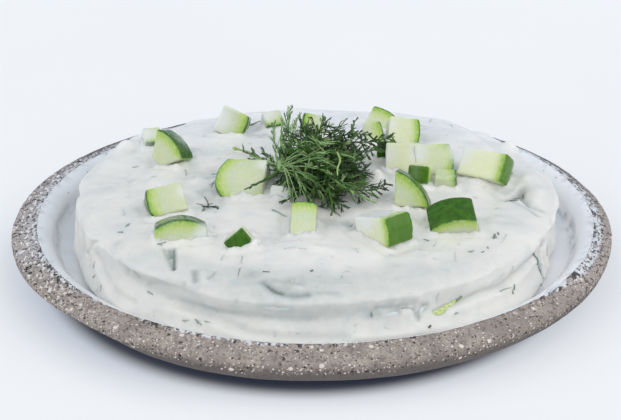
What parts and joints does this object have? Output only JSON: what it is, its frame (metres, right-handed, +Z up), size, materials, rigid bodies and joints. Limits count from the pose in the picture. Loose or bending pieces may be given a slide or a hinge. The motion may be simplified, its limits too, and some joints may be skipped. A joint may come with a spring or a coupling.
{
  "type": "tzatziki dip",
  "caption": "Low round cake of tzatziki in a shallow stoneware dish, with a spoon's groove round the front and diced cucumber and a tuft of dill on top.",
  "frame": {"origin": "middle of the dish's flat foot, on the table", "axes": "+Z up; -Y towards the diner, the side with the spoon's groove; +X to the diner's right"},
  "size_m": [0.22, 0.22, 0.0527],
  "materials": {
    "stoneware": "bare grey-brown stoneware with pale and dark grog outside and on the rim, pale bluish-white glaze inside",
    "yoghurt": "thick moist white yoghurt, softly glossy, flecked with dill and grated cucumber",
    "cucumber": "wet pale green flesh with a dark green waxy skin on one side",
    "dill": "fresh feathery dill threads, mid green"
  },
  "bodies": {
    "root": {"dish": "stoneware", "tzatziki": "yoghurt", "cucumber_01": "cucumber", "cucumber_02": "cucumber", "cucumber_03": "cucumber", "cucumber_04": "cucumber", "cucumber_05": "cucumber", "cucumber_06": "cucumber", "cucumber_07": "cucumber", "cucumber_08": "cucumber", "cucumber_09": "cucumber", "cucumber_10": "cucumber", "cucumber_11": "cucumber", "cucumber_12": "cucumber", "cucumber_13": "cucumber", "cucumber_14": "cucumber", "cucumber_15": "cucumber", "cucumber_16": "cucumber", "cucumber_17": "cucumber", "cucumber_18": "cucumber", "cucumber_19": "cucumber", "cucumber_20": "cucumber", "cucumber_21": "cucumber", "cucumber_22": "cucumber", "cucumber_23": "cucumber", "cucumber_24": "cucumber", "dill_tuft": "dill"}
  },
  "joints": []
}
